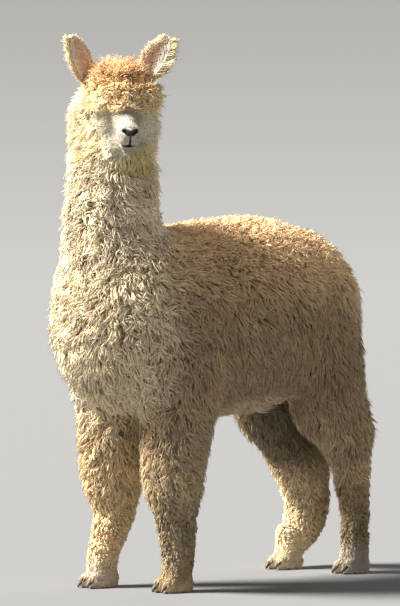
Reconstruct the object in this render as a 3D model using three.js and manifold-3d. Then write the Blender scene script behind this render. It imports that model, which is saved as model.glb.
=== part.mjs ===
// A standing huacaya alpaca in full fleece, life size, as a still museum model.
// Units are millimetres, +Z is up, the animal faces -Y and its left side is +X.
// The head is turned to its left. The surface is the outline of the fleece, out to
// the tips of the locks.
//
// Each shape is a field: a function of a point [x, y, z] that is negative inside and
// near the surface is about the distance to it. Fields are blended into one body,
// turned into closed meshes on a grid, and parted by thin plane cuts.
import * as THREE from "three";
import { mergeVertices } from "three/addons/utils/BufferGeometryUtils.js";
import Module from "manifold-3d";

const wasm = await Module();
wasm.setup();

// ---------------------------------------------------------------- driving sizes
const BACK_HEIGHT = 930; // top of the fleece on the back
const BELLY_HEIGHT = 410; // underside of the fleece
const BODY_HALF_WIDTH = 222; // widest fleece on the barrel
const NECK_Y = -400; // axis of the upright neck
const FORE_Y = -318; // middle of the two front feet
const HIND_Y = 334; // middle of the two hind feet
const FORE_STRIDE = 27; // each front foot is this far ahead of or behind their middle
const HIND_STRIDE = 22;
const FORE_TRACK = 105; // each front foot, out from the middle line
const HIND_TRACK = 98;
const KNEE_HEIGHT = 232;
const HOCK_HEIGHT = 298;
const PASTERN_HEIGHT = 58; // where a foot leaves its leg
const TOE_OUT = 16; // each of the two toes, out from the middle of its foot
const SKULL = [15, -390, 1172]; // middle of the head, between the eyes
const HEAD_TURN = 55; // degrees that the head looks to its left
const HEAD_DROP = 13; // degrees that the muzzle points below level
const MUZZLE_TIP = -184; // front of the upper lip, from the middle of the head
const EYE_AT = [49, -44, 8]; // left eye, from the middle of the head
const EYE_RADIUS = 19;
const EAR_LENGTH = 156;
const EAR_HALF_WIDTH = 32;
const GAP = 0.4; // left between neighbouring solids
const CLEAR = 0.8; // a solid cut to fit a faceted neighbour stays this far off it
const HUGE = 4000; // side of a cutter that outreaches the animal
const CELL = { trunk: 62, tail: 27, neck: 40, leg: 39, foot: 16 }; // sides of the grid cells

const { abs, hypot, max, min, sin, PI } = Math;
const radians = THREE.MathUtils.degToRad;

// ---------------------------------------------------------------- fields
// A smooth curve through rows of [key, value, value, ...], read at any key.
function profile(rows) {
  const slope = (i, k) => {
    const [before, after] = [rows[max(i - 1, 0)], rows[min(i + 1, rows.length - 1)]];
    return (after[k] - before[k]) / (after[0] - before[0]);
  };
  return (key) => {
    const at = min(max(key, rows[0][0]), rows.at(-1)[0]);
    let i = 0;
    while (i < rows.length - 2 && at > rows[i + 1][0]) i += 1;
    const span = rows[i + 1][0] - rows[i][0];
    const t = (at - rows[i][0]) / span;
    const share = t * t * (3 - 2 * t);
    return rows[i].slice(1).map((value, j) => {
      const ease = slope(i, j + 1) * (1 - t) - slope(i + 1, j + 1) * t;
      return value * (1 - share) + rows[i + 1][j + 1] * share + span * t * (1 - t) * ease;
    });
  };
}

// An ellipsoid about a point, with these three half sizes.
function ball(at, [rx, ry, rz]) {
  return ([x, y, z]) => {
    const [u, v, w] = [(x - at[0]) / rx, (y - at[1]) / ry, (z - at[2]) / rz];
    const near = hypot(u, v, w);
    if (near < 1e-6) return -min(rx, ry, rz);
    return (near * (near - 1)) / hypot(u / rx, v / ry, w / rz);
  };
}

// A straight bar with round ends, of radius ra at a and rb at b.
function bar(a, b, ra, rb) {
  const along = b.map((value, i) => value - a[i]);
  const squared = along.reduce((sum, value) => sum + value * value, 0);
  return (p) => {
    const from = p.map((value, i) => value - a[i]);
    const dot = from.reduce((sum, value, i) => sum + value * along[i], 0);
    const t = min(max(dot / squared, 0), 1);
    return hypot(...from.map((value, i) => value - along[i] * t)) - (ra + (rb - ra) * t);
  };
}

// How a section's side distance carries on past the end of the line it is swept along.
const capped = (side, radius, past) => (past > 0 ? hypot(max(side + radius, 0), past) - radius : side);

// An elliptical section swept upward: rows of [z, x, y, half width, half depth].
function column(rows) {
  const sectionAt = profile(rows);
  return ([x, y, z]) => {
    const [cx, cy, rx, ry] = sectionAt(z);
    const side = (hypot((x - cx) / rx, (y - cy) / ry) - 1) * min(rx, ry);
    return capped(side, min(rx, ry), max(rows[0][0] - z, z - rows.at(-1)[0]));
  };
}

// The same swept backward on the middle line: rows of [y, top, bottom, half width].
function barrel(rows) {
  const sectionAt = profile(rows);
  return ([x, y, z]) => {
    const [top, bottom, half] = sectionAt(y);
    const tall = (top - bottom) / 2;
    const side = (hypot(x / half, (z - (top + bottom) / 2) / tall) - 1) * min(half, tall);
    return capped(side, min(half, tall), max(rows[0][0] - y, y - rows.at(-1)[0]));
  };
}

// Two fields joined with a fillet about as wide as soft.
function blend(a, b, soft) {
  return (p) => {
    const [da, db] = [a(p), b(p)];
    const lap = max(soft - abs(da - db), 0) / soft;
    return min(da, db) - (lap * lap * soft) / 4;
  };
}

const blendAll = (soft, ...fields) => fields.reduce((sum, field) => blend(sum, field, soft));
const grown = (field, by) => (p) => field(p) - by;
const bothSides = ([x, y, z], size) => [ball([x, y, z], size), ball([-x, y, z], size)];

// A field given in the frame of a turned and moved group.
function placed(field, frame) {
  const inverse = frame.clone().invert();
  const point = new THREE.Vector3();
  return (p) => field(point.set(...p).applyMatrix4(inverse).toArray());
}

// ---------------------------------------------------------------- from field to mesh
// Grid lines whose cells ease from one size to the next: rows of [place, cell size].
function ticks(rows) {
  const sizeAt = profile(rows);
  const lines = [rows[0][0] - rows[0][1]];
  while (lines.at(-1) < rows.at(-1)[0]) lines.push(lines.at(-1) + sizeAt(lines.at(-1))[0]);
  return [...lines, lines.at(-1) + rows.at(-1)[1]];
}

const evenGrid = (low, high, cell) => low.map((value, i) => ticks([[value, cell], [high[i], cell]]));

// A point moved on to the surface along the field's slope, by less than reach.
function settled(field, start, reach) {
  const STEP = 0.5;
  let p = start;
  for (let turn = 0; turn < 3; turn += 1) {
    const value = field(p);
    const slope = p.map((_, axis) => {
      const at = (step) => field(p.map((v, i) => (i === axis ? v + step : v)));
      return (at(STEP) - at(-STEP)) / (2 * STEP);
    });
    const steep = max(slope.reduce((sum, s) => sum + s * s, 0), 0.2);
    p = p.map((v, i) => v - (value * slope[i]) / steep);
  }
  return hypot(...p.map((v, i) => v - start[i])) < reach ? p : start;
}

const CORNERS = [0, 1, 2, 3, 4, 5, 6, 7].map((n) => [n & 1, (n >> 1) & 1, n >> 2]);
const EDGES = [1, 2, 4].flatMap((bit) => CORNERS.map((_, n) => [n, n | bit]).filter(([a, b]) => a !== b));

// The closed surface of a field inside a grid, with one point in each cell that the
// surface crosses and one quad for each grid edge that it crosses.
function surfaceOf(field, grid) {
  const size = grid.map((lines) => lines.length);
  const steps = [1, size[0], size[0] * size[1]];
  const boxed = (p) => max(field(p), ...p.map((v, i) => max(grid[i][1] - v, v - grid[i].at(-2))));
  const values = new Float64Array(size[0] * size[1] * size[2]);
  const forEachCell = (visit) => {
    for (let k = 0; k < size[2]; k += 1)
      for (let j = 0; j < size[1]; j += 1)
        for (let i = 0; i < size[0]; i += 1) visit([i, j, k], i + j * steps[1] + k * steps[2]);
  };
  forEachCell((cell, at) => {
    values[at] = boxed(cell.map((n, axis) => grid[axis][n]));
  });

  const places = [];
  const pointOf = new Map();
  const cornerSteps = CORNERS.map((corner) => corner.reduce((sum, n, axis) => sum + n * steps[axis], 0));
  forEachCell((cell, at) => {
    if (cell.some((n, axis) => n === size[axis] - 1)) return;
    const corner = cornerSteps.map((step) => values[at + step]);
    const crossed = EDGES.filter(([a, b]) => corner[a] < 0 !== corner[b] < 0);
    if (!crossed.length) return;
    const spans = cell.map((n, axis) => grid[axis][n + 1] - grid[axis][n]);
    const start = cell.map((n, axis) => {
      const shares = crossed.map(([a, b]) => {
        const t = corner[a] / (corner[a] - corner[b]);
        return CORNERS[a][axis] * (1 - t) + CORNERS[b][axis] * t;
      });
      return grid[axis][n] + (shares.reduce((sum, v) => sum + v, 0) / shares.length) * spans[axis];
    });
    pointOf.set(at, places.length / 3);
    places.push(...settled(boxed, start, min(...spans) / 2));
  });

  const faces = [];
  for (const at of pointOf.keys())
    for (let axis = 0; axis < 3; axis += 1) {
      const inside = values[at] < 0;
      if (inside === values[at + steps[axis]] < 0) continue;
      const [u, v] = [steps[(axis + 1) % 3], steps[(axis + 2) % 3]];
      const quad = [at, at - u, at - u - v, at - v].map((cell) => pointOf.get(cell));
      const [a, b, c, d] = inside ? quad : quad.reverse();
      faces.push(a, b, c, a, c, d);
    }
  const surface = new THREE.BufferGeometry().setIndex(faces);
  return surface.setAttribute("position", new THREE.Float32BufferAttribute(places, 3));
}

// ---------------------------------------------------------------- cutting
function solid(geometry) {
  const bare = geometry.clone();
  bare.deleteAttribute("normal");
  bare.deleteAttribute("uv");
  const merged = mergeVertices(bare, 1e-3);
  const [vertProperties, triVerts] = [merged.attributes.position.array, new Uint32Array(merged.index.array)];
  return new wasm.Manifold(new wasm.Mesh({ numProp: 3, vertProperties, triVerts }));
}

const solidOf = (field, grid) => solid(surfaceOf(field, grid));

// All that lies on the side that a plane's normal points to, from shift onward.
function beyond({ at, normal }, shift) {
  const facing = new THREE.Vector3(...normal).normalize();
  const turn = new THREE.Quaternion().setFromUnitVectors(new THREE.Vector3(0, 0, 1), facing);
  const box = new THREE.BoxGeometry(HUGE, HUGE, HUGE).translate(0, 0, HUGE / 2 + shift);
  return solid(box.applyQuaternion(turn).translate(...at));
}

const flipped = ({ at, normal }) => ({ at, normal: normal.map((value) => -value) });

// The part of a solid that lies behind all of these planes, half a gap clear of each.
const behind = (made, ...planes) =>
  planes.reduce((left, plane) => left.subtract(beyond(plane, -GAP / 2)), made);

// A solid without the region behind all of these planes, again half a gap clear.
function without(made, ...planes) {
  const all = solid(new THREE.BoxGeometry(HUGE, HUGE, HUGE));
  return made.subtract(planes.reduce((left, plane) => left.subtract(beyond(plane, GAP / 2)), all));
}

const FLOOR = { at: [0, 0, 0], normal: [0, 0, -1] };
const onFloor = (made) => made.subtract(beyond(FLOOR, 0));

// ---------------------------------------------------------------- body
const trunkField = blendAll(
  70,
  barrel([
    // y, top, bottom, half width
    [-345, BACK_HEIGHT - 80, BELLY_HEIGHT + 52, BODY_HALF_WIDTH - 48],
    [-270, BACK_HEIGHT - 38, BELLY_HEIGHT + 12, BODY_HALF_WIDTH - 24],
    [-160, BACK_HEIGHT - 20, BELLY_HEIGHT - 5, BODY_HALF_WIDTH - 8],
    [-30, BACK_HEIGHT - 4, BELLY_HEIGHT, BODY_HALF_WIDTH],
    [90, BACK_HEIGHT, BELLY_HEIGHT + 8, BODY_HALF_WIDTH - 4],
    [190, BACK_HEIGHT - 22, BELLY_HEIGHT + 48, BODY_HALF_WIDTH - 30],
  ]),
  ball([0, -340, 645], [184, 186, 215]), // chest and bib
  ball([0, 250, 680], [154, 138, 178]), // rump
);

const neckField = column([
  // z, x, y, half width, half depth
  [640, 0, NECK_Y + 80, 150, 158],
  [740, 0, NECK_Y + 54, 150, 164],
  [820, -2, NECK_Y + 14, 130, 142],
  [900, -6, NECK_Y + 2, 118, 128],
  [1000, -10, NECK_Y + 8, 112, 118],
  [1080, -20, NECK_Y + 18, 112, 112],
  [1150, -26, NECK_Y + 23, 108, 106],
]);

const ruffField = ball([-18, NECK_Y + 24, 1144], [106, 106, 104]); // wool behind the cheeks

const tailField = blend(
  bar([0, 338, 800], [0, 380, 720], 54, 64),
  bar([0, 380, 720], [0, 378, 600], 64, 50),
  40,
);

// ---------------------------------------------------------------- legs
// Rows of [z, x, y, half width, half depth], from below the floor up into the body.
function foreleg({ x, side, footY, jointY }) {
  return column([
    [-40, x, footY + 2, 32, 38],
    [30, x, footY + 3, 34, 40],
    [80, x, footY + 9, 39, 42],
    [130, x, (footY + jointY) / 2 + 6, 47, 48],
    [185, x, jointY, 54, 58],
    [KNEE_HEIGHT + 20, x + side * 1, jointY - 8, 74, 78],
    [325, x + side * 3, jointY - 8, 83, 88],
    [420, x + side * 4, jointY + 2, 88, 100],
    [560, x + side * 2, jointY + 6, 84, 100],
  ]);
}

function hindleg({ x, side, footY, jointY, shag }) {
  const reach = jointY - footY;
  const fuller = 80 * (shag - 1); // wool in front of the thigh and behind the hock
  return column([
    [-40, x, footY + 2, 34, 38],
    [30, x, footY + 4, 35, 39],
    [85, x, footY + reach * 0.42 + fuller * 0.5, 36 * shag, 38 * shag + fuller * 0.5],
    [150, x, footY + reach * 0.76 + fuller * 0.6, 38 * shag, 42 * shag + fuller * 0.7],
    [220, x, jointY - 12, 44 * shag, 52 * shag + fuller * 0.65],
    [HOCK_HEIGHT, x + side * 2, jointY - 28 - fuller * 0.4, 54 * shag, 74 * shag + fuller * 0.6],
    [375, x + side * 5, jointY - 62 - fuller, 76, 108 + fuller],
    [470, x + side * 7, jointY - 98, 82, 108],
    [560, x + side * 6, jointY - 124, 82, 98],
  ]);
}

// Knees and hocks stand at jointY. Shag is how full the wool is round the hock.
const LEGS = [
  { end: "fore", side: 1, footY: FORE_Y + FORE_STRIDE, jointY: -290 },
  { end: "fore", side: -1, footY: FORE_Y - FORE_STRIDE, jointY: -298 },
  { end: "hind", side: 1, footY: HIND_Y + HIND_STRIDE, jointY: 366, shag: 1 },
  { end: "hind", side: -1, footY: HIND_Y - HIND_STRIDE, jointY: 390, shag: 1.34 },
];
for (const leg of LEGS) {
  const fore = leg.end === "fore";
  leg.which = leg.side > 0 ? "left" : "right";
  leg.x = leg.side * (fore ? FORE_TRACK : HIND_TRACK);
  leg.field = fore ? foreleg(leg) : hindleg(leg);
  leg.cuts = [
    fore
      ? { at: [0, 0, 398], normal: [-0.3 * leg.side, 0, 0.95] }
      : { at: [0, 165, 402], normal: [-0.18 * leg.side, -0.62, 0.76] },
    { at: [0, 0, 0], normal: [-leg.side, 0, 0] },
    { at: [0, 0, 0], normal: [0, fore ? 1 : -1, 0] },
  ];
}

// ---------------------------------------------------------------- head
// In the head's own frame the muzzle points to -Y and the origin is between the eyes.
const headFrame = new THREE.Matrix4()
  .makeTranslation(...SKULL)
  .multiply(new THREE.Matrix4().makeRotationZ(radians(HEAD_TURN)))
  .multiply(new THREE.Matrix4().makeRotationX(radians(HEAD_DROP)));

const faceField = blendAll(
  20,
  ball([0, -6, 8], [68, 80, 62]), // braincase
  ball([0, -52, 10], [52, 48, 40]), // brow
  bar([0, -60, -2], [0, MUZZLE_TIP + 38, -24], 42, 27), // bridge of the nose
  ball([0, MUZZLE_TIP + 14, -22], [24, 22, 19]), // nose pad
  ...bothSides([12, MUZZLE_TIP + 18, -38], [16.5, 23, 19]), // split upper lip
  bar([0, MUZZLE_TIP + 28, -56], [0, -60, -52], 17, 34), // lower jaw
  ...bothSides([40, -34, -24], [34, 58, 44]), // cheeks
  ...bothSides([41, -41, 23], [21, 40, 21]), // brow ridges over the eyes
);
const throatField = ball([0, -62, -84], [62, 62, 40]); // wool under the jaw
const topknotField = blendAll(
  30,
  ball([0, 2, 64], [92, 88, 66]), // cap of wool between the ears
  ball([13, 0, 34], [109, 78, 58]), // wool over the temples
  ball([6, -58, 44], [86, 52, 50]), // fringe over the brow
  ...bothSides([54, -66, 14], [30, 30, 28]), // locks in front of the eyes
);

// A cupped leaf, widest below the middle, open to the front. Its root is inside the wool.
function ear({ root, turn }) {
  const HALF_THICK = 7.5; // with the fur on both faces
  const CUP = 15; // how far the edges curl forward
  const BEND = 12; // how far the tip bends back
  const leaf = new THREE.SphereGeometry(1, 12, 11).rotateX(PI / 2);
  const places = leaf.attributes.position;
  for (let i = 0; i < places.count; i += 1) {
    const [sx, sy, sz] = [places.getX(i), places.getY(i), places.getZ(i)];
    const along = (sz + 1) / 2;
    const ring = max(hypot(sx, sy), 1e-6);
    const across = sx / ring;
    const width = EAR_HALF_WIDTH * sin(PI * along ** 0.9) ** 0.58 * min(ring * 3, 1);
    const cup = CUP * across * across * sin(PI * min(along * 1.1 + 0.12, 1));
    const thick = HALF_THICK * (sy / ring) * min(ring * 2, 1);
    places.setXYZ(i, across * width, thick - cup + BEND * along * along, along * EAR_LENGTH);
  }
  const lean = new THREE.Matrix4().makeRotationFromEuler(new THREE.Euler(...turn.map(radians)));
  return solid(leaf).transform(headFrame.clone().multiply(lean.setPosition(...root)).toArray());
}

// The left ear leans out, the right one stands up. Turns are in degrees about X, Y and Z.
const EARS = [
  { which: "left", root: [50, 28, 45], turn: [-12, 28, -20] },
  { which: "right", root: [-75, 28, 34], turn: [-8, -15, 32] },
];

// ---------------------------------------------------------------- feet
function footField({ x, footY }) {
  const toe = (out) =>
    blend(
      ball([x + out, footY - 18, 12], [15.5, 36, 27]),
      ball([x + out * 0.8, footY + 14, 16], [16, 28, 24]),
      12,
    );
  const pastern = column([
    [20, x, footY + 4, 28, 33],
    [60, x, footY + 6, 35, 40],
    [90, x, footY + 8, 38, 42],
  ]);
  return blend(blend(toe(TOE_OUT), toe(-TOE_OUT), 3), pastern, 14);
}

// A blunt horn cone at the front of a toe, bent down to the floor, or the room for it.
function nail({ x, footY }, out, room = 0) {
  const [TIP, ROOT, LENGTH, SIDES] = [2.5, 8.5, 26, 8];
  const [AHEAD, HEIGHT, DROP] = [49, 11.5, 28]; // its middle, and degrees below level
  const horn = new THREE.CylinderGeometry(TIP + room, ROOT + room, LENGTH + 2 * room, SIDES, 1);
  horn.rotateX(PI / 2 + radians(DROP)).rotateY(PI);
  return solid(horn.translate(x + out * TOE_OUT, footY - AHEAD, HEIGHT));
}

// ---------------------------------------------------------------- the whole animal
const shoulders = bothSides([112, -285, 560], [92, 128, 190]);
const thighs = bothSides([104, 226, 545], [92, 114, 190]);
const bodyField = blendAll(55, blend(trunkField, neckField, 70), ...shoulders, ...thighs);
const headField = placed(blend(faceField, throatField, 30), headFrame);
const bareField = blendAll(34, bodyField, ruffField, headField);
const crownedField = blend(bareField, placed(topknotField, headFrame), 12);
const leggedField = blendAll(46, bareField, ...LEGS.map((leg) => leg.field));

// The cuts between head, neck, trunk and tail.
const throatCut = { at: [0, -400, 1082], normal: [-0.18, -0.16, -0.97] }; // down to the neck
const neckCut = { at: [0, -350, 800], normal: [0, 0.5, -0.87] }; // back to the trunk
const tailCut = { at: [0, 350, 760], normal: [0, -0.965, -0.26] }; // in to the rump
const crownCuts = [
  // In the head's frame: the topknot is above the first and behind the second.
  { at: [0, -110, 13], normal: [0, 0.15, -1] },
  { at: [0, -104, 14], normal: [0, -0.75, -0.66] },
];

// ---------------------------------------------------------------- colours
const FAWN = 0xc9a57c;
const CREAM = 0xd9c6a2;
const TAN = 0xb59a75;
const WHITE = 0xe9e3d6;
const GINGER = 0xd9a468;
const STRAW = 0xe0c595;
const SAND = 0xcdb898;
const HORN = 0x4c4238;
const DARK = 0x15100d;

const model = new THREE.Group();

// Adds a sub-part, without the crumbs that a cut may leave beside it.
function add(name, made, color, roughness = 0.95) {
  const [main] = made.decompose().sort((a, b) => b.volume() - a.volume());
  const { vertProperties, triVerts } = main.getMesh();
  const shape = new THREE.BufferGeometry().setIndex(new THREE.BufferAttribute(triVerts, 1));
  shape.setAttribute("position", new THREE.BufferAttribute(vertProperties, 3));
  const mesh = new THREE.Mesh(shape, new THREE.MeshStandardMaterial({ color, roughness, metalness: 0 }));
  mesh.name = name;
  model.add(mesh);
}

function addTrunkNeckAndTail() {
  const tailBox = [[-90, 260, 510], [90, 480, 880]];
  const tailRoom = solidOf(grown(tailField, 4 * CLEAR), evenGrid(...tailBox, CELL.tail));
  const whole = solidOf(leggedField, evenGrid([-260, -600, 340], [260, 470, 1010], CELL.trunk));
  const legless = LEGS.reduce((left, leg) => without(left, ...leg.cuts), whole);
  add("trunk", behind(legless, flipped(neckCut)).subtract(tailRoom.subtract(beyond(tailCut, GAP / 2))), FAWN);
  add("tail", behind(solidOf(tailField, evenGrid(...tailBox, CELL.tail)), tailCut), FAWN);

  // Finer upward, where the neck narrows under the jaw.
  const neckGrid = evenGrid([-200, -600, 560], [200, -130, 1180], CELL.neck);
  neckGrid[2] = ticks([[560, 44], [980, 42], [1090, 25], [1180, 25]]);
  add("neck", behind(solidOf(leggedField, neckGrid), neckCut, flipped(throatCut)), CREAM);
}

function addLeg(leg) {
  const [front, back, top] = leg.end === "fore" ? [-480, -20, 500] : [40, 480, 640];
  const [inner, outer] = [leg.side * -5, leg.side * 235];
  const low = [min(inner, outer), front, PASTERN_HEIGHT - 30];
  const high = [max(inner, outer), back, top];
  const ankle = { at: [0, 0, PASTERN_HEIGHT], normal: [0, 0, -1] };
  const whole = solidOf(leggedField, evenGrid(low, high, CELL.leg));
  add(`${leg.end}leg_${leg.which}`, behind(whole, ...leg.cuts, ankle), TAN);

  const footLow = [leg.x - 70, leg.footY - 90, -30];
  const footHigh = [leg.x + 70, leg.footY + 90, PASTERN_HEIGHT + 20];
  const footGrid = evenGrid(footLow, footHigh, CELL.foot);
  let foot = behind(solidOf(footField(leg), footGrid), flipped(ankle));
  for (const [place, out] of [["outer", leg.side], ["inner", -leg.side]]) {
    foot = foot.subtract(nail(leg, out, CLEAR));
    add(`nail_${leg.end}_${leg.which}_${place}`, onFloor(nail(leg, out)), HORN, 0.5);
  }
  add(`${leg.end}foot_${leg.which}`, onFloor(foot), SAND);
}

// The face is gridded finely and the wool behind it coarsely, in the head's own frame.
function addHead() {
  const grid = [
    ticks([[-190, 38], [-60, 23], [0, 13], [60, 23], [190, 38]]),
    ticks([[-210, 12], [-120, 14], [-40, 25], [190, 36]]),
    ticks([[-160, 28], [-70, 14], [0, 15], [60, 28], [150, 30]]),
  ];
  const inWorld = (made) => made.transform(headFrame.toArray());
  const field = placed(crownedField, headFrame.clone().invert());
  const whole = solidOf(field, grid);
  let face = behind(inWorld(without(whole, ...crownCuts)), throatCut);
  let topknot = inWorld(behind(whole, ...crownCuts));
  for (const side of [1, -1]) {
    const eyeball = (radius) => {
      const globe = new THREE.SphereGeometry(radius, 10, 7);
      return inWorld(solid(globe.translate(side * EYE_AT[0], EYE_AT[1], EYE_AT[2])));
    };
    const socket = eyeball(EYE_RADIUS + GAP);
    face = face.subtract(socket);
    topknot = topknot.subtract(socket);
    add(`eye_${side > 0 ? "left" : "right"}`, eyeball(EYE_RADIUS), DARK, 0.15);
  }
  add("head", face, WHITE);
  add("topknot", topknot, GINGER);
  const headClear = inWorld(solidOf(grown(field, CLEAR), grid));
  for (const each of EARS) add(`ear_${each.which}`, ear(each).subtract(headClear), STRAW);
}

addTrunkNeckAndTail();
LEGS.forEach(addLeg);
addHead();

// The origin is on the floor, under the middle of the animal's box.
const middle = new THREE.Box3().setFromObject(model).getCenter(new THREE.Vector3());
model.position.set(-middle.x, -middle.y, 0);

export default model;
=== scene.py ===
"""A life-size huacaya alpaca in full fleece: one skin, mesh wool over it, eyes and nails."""
import math
from functools import partial, reduce

import bpy
import numpy as np
from numpy import array, concatenate, cos, cross, hypot, maximum, minimum, sign, sin, stack, where, zeros
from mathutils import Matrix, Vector, kdtree


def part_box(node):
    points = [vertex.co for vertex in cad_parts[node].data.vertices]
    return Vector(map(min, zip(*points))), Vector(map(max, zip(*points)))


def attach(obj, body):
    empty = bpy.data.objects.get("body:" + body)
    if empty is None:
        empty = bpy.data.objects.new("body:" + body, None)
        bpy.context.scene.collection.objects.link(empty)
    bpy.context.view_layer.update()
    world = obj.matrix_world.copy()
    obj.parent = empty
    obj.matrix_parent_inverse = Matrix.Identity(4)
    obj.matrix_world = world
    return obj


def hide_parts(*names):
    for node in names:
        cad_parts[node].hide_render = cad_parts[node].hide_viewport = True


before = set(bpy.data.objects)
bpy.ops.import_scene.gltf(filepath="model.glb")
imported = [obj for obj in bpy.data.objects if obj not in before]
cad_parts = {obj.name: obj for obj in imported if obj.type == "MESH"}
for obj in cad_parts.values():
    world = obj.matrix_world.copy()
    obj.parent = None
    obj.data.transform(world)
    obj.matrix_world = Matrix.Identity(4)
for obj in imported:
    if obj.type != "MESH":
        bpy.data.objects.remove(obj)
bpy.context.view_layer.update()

# ---- sizes, in millimetres
# The animal's own frame: +Z up, -Y the way the body faces, +X to its left, the origin on
# the floor. The CAD frame is this one moved along Y, and SHIFT is read off the left eye.
MM = 1000  # in a metre
BACK_HEIGHT, BELLY_HEIGHT, BODY_HALF_WIDTH = 930, 410, 222
NECK_Y = -400
KNEE_HEIGHT, HOCK_HEIGHT = 232, 298
TOE_OUT = 16
SKULL = array([15.0, -390.0, 1172.0])
HEAD_TURN, HEAD_DROP = math.radians(55), math.radians(13)
MUZZLE_TIP = -184
EYE_AT, EYE_RADIUS = array([49.0, -44.0, 8.0]), 19.0
EAR_LENGTH = 154
FACE_HAIR = 3.0  # depth of the short hair on the muzzle
SOLE_GAP = 1.2  # the bare pads end this far above the floor
FLOOR_GAP = 0.4  # no hair or nail goes below this height
# Heights that the feet, the limbs, the ruff and the head keep to.
FEET_BELOW, LIMBS_BELOW, RUFF_ABOVE, HEAD_ABOVE = 110, 760, 960, 1010
LEGS = [
    dict(end="fore", side=1, foot_y=-291, joint_y=-290, shag=1),
    dict(end="fore", side=-1, foot_y=-345, joint_y=-298, shag=1),
    dict(end="hind", side=1, foot_y=356, joint_y=366, shag=1),
    dict(end="hind", side=-1, foot_y=312, joint_y=390, shag=1.34),
]
for leg in LEGS:
    leg["x"] = leg["side"] * (105 if leg["end"] == "fore" else 98)
    leg["name"] = leg["end"] + "leg_" + ("left" if leg["side"] > 0 else "right")
# rim scales the rim hair's colour: full on the right ear as painted light in its shade, halved on the left
# ear, which the key lamp lights full, as painted shade
EARS = [
    dict(root=(49, 26, 47), lean=(-12, 28, -20), rim=0.5),
    dict(root=(-74, 26, 34), lean=(-8, -15, 32), rim=1.0),
]


def turn(axis, a):
    """The matrix that turns points about an axis, 0 for X to 2 for Z."""
    about_x = [[1, 0, 0], [0, math.cos(a), -math.sin(a)], [0, math.sin(a), math.cos(a)]]
    return np.roll(about_x, (axis, axis), (0, 1))


HEAD_AXES = turn(2, HEAD_TURN) @ turn(0, HEAD_DROP)
to_head = lambda p: (p - SKULL) @ HEAD_AXES
from_head = lambda p: p @ HEAD_AXES.T + SKULL
eye_low, eye_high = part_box("eye_left")
SHIFT = (array(eye_low) + array(eye_high)) * MM / 2 - from_head(EYE_AT)
SHIFT[abs(SHIFT) < 1] = 0
metres = lambda p: (p + SHIFT) / MM


# ---- small helpers
def ramp(low, high, x):
    """0 below low, easing to 1 above high."""
    t = np.clip((x - low) / (high - low), 0, 1)
    return t * t * (3 - 2 * t)


def fall(low, high, x):
    """1 below low, easing to 0 above high."""
    return 1 - ramp(low, high, x)


def norm(v):
    return np.linalg.norm(v, axis=-1)


def unit(v):
    return v / maximum(norm(v)[..., None], 1e-9)


def square_to(n, way):
    """The unit direction nearest to way that is square to n."""
    return unit(way - (way * n).sum(-1, keepdims=True) * n)


def mix(a, b, t):
    return a + (b - a) * t


def layered(c, layers):
    """Colours c with each (colour, share) laid over what is under it."""
    for color, share in layers:
        c = mix(c, color, share[:, None])
    return c


def angles(count):
    return np.arange(count) * 2 * np.pi / count


def srgb(r, g, b):
    c = array([r, g, b]) / 255
    return where(c <= 0.04045, c / 12.92, ((c + 0.055) / 1.055) ** 2.4)


LATTICE = np.random.default_rng(11).random((32, 32, 32)).astype(np.float32)


def noise(p, size, salt=0):
    """Smooth noise from -1 to 1, whose lumps are about size across."""
    q = p / size + salt * 7.31
    cell = np.floor(q).astype(int)
    f = q - cell
    f = f * f * (3 - 2 * f)
    total = 0
    for corner in range(8):
        bits = array([corner & 1, corner >> 1 & 1, corner >> 2])
        weight = np.prod(where(bits, f, 1 - f), axis=1)
        at = (cell + bits) & 31
        total = total + weight * LATTICE[at[:, 0], at[:, 1], at[:, 2]]
    return total * 2 - 1


# ---- fields, as in the CAD
def profile(rows):
    """A smooth curve through rows of [key, value, ...], as a function of the key."""
    rows = array(rows, float)
    keys = rows[:, 0]
    after = minimum(np.arange(len(keys)) + 1, len(keys) - 1)
    before = maximum(np.arange(len(keys)) - 1, 0)
    slope = (rows[after] - rows[before]) / (keys[after] - keys[before])[:, None]
    dense = np.linspace(keys[0], keys[-1], 400)
    i = np.clip(np.searchsorted(keys, dense) - 1, 0, len(keys) - 2)
    span = (keys[i + 1] - keys[i])[:, None]
    t = (dense[:, None] - keys[i][:, None]) / span
    share = t * t * (3 - 2 * t)
    bend = slope[i] * (1 - t) - slope[i + 1] * t
    table = mix(rows[i], rows[i + 1], share) + span * t * (1 - t) * bend
    return lambda key: [np.interp(key, dense, table[:, k]) for k in range(1, rows.shape[1])]


def ball(at, radii):
    at, radii = array(at, float), array(radii, float)

    def field(p):
        q = (p - at) / radii
        near = maximum(norm(q), 1e-6)
        return near * (near - 1) / norm(q / radii).clip(1e-9)

    return field


def bar(a, b, ra, rb):
    a, b = array(a, float), array(b, float)
    along = b - a

    def field(p):
        t = ((p - a) @ along / (along @ along)).clip(0, 1)
        return norm(p - a - t[:, None] * along) - (ra + (rb - ra) * t)

    return field


def sweep(rows, axis, ellipse):
    """A form along an axis with round ends, from the middle and half widths of its section."""
    section = profile(rows)

    def field(p):
        cx, cy, rx, ry = ellipse(*section(p[:, axis]))
        small = minimum(rx, ry)
        side = (hypot((p[:, 0] - cx) / rx, (p[:, 3 - axis] - cy) / ry) - 1) * small
        past = maximum(rows[0][0] - p[:, axis], p[:, axis] - rows[-1][0])
        return where(past > 0, hypot(maximum(side + small, 0), past) - small, side)

    return field


def column(rows):
    """Upright, from rows of height, middle x and y, half width and half depth."""
    return sweep(rows, 2, lambda *section: section)


def barrel(rows):
    """Along Y, from rows of y, top, bottom and half width."""
    return sweep(rows, 1, lambda top, bottom, half: (0, (top + bottom) / 2, half, (top - bottom) / 2))


def joined(a, b, soft):
    lap = maximum(soft - abs(a - b), 0) / soft
    return minimum(a, b) - lap * lap * soft / 4


def cut(a, b, soft):
    """a without b, with an edge as soft as that."""
    return -joined(-a, b, soft)


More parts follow.
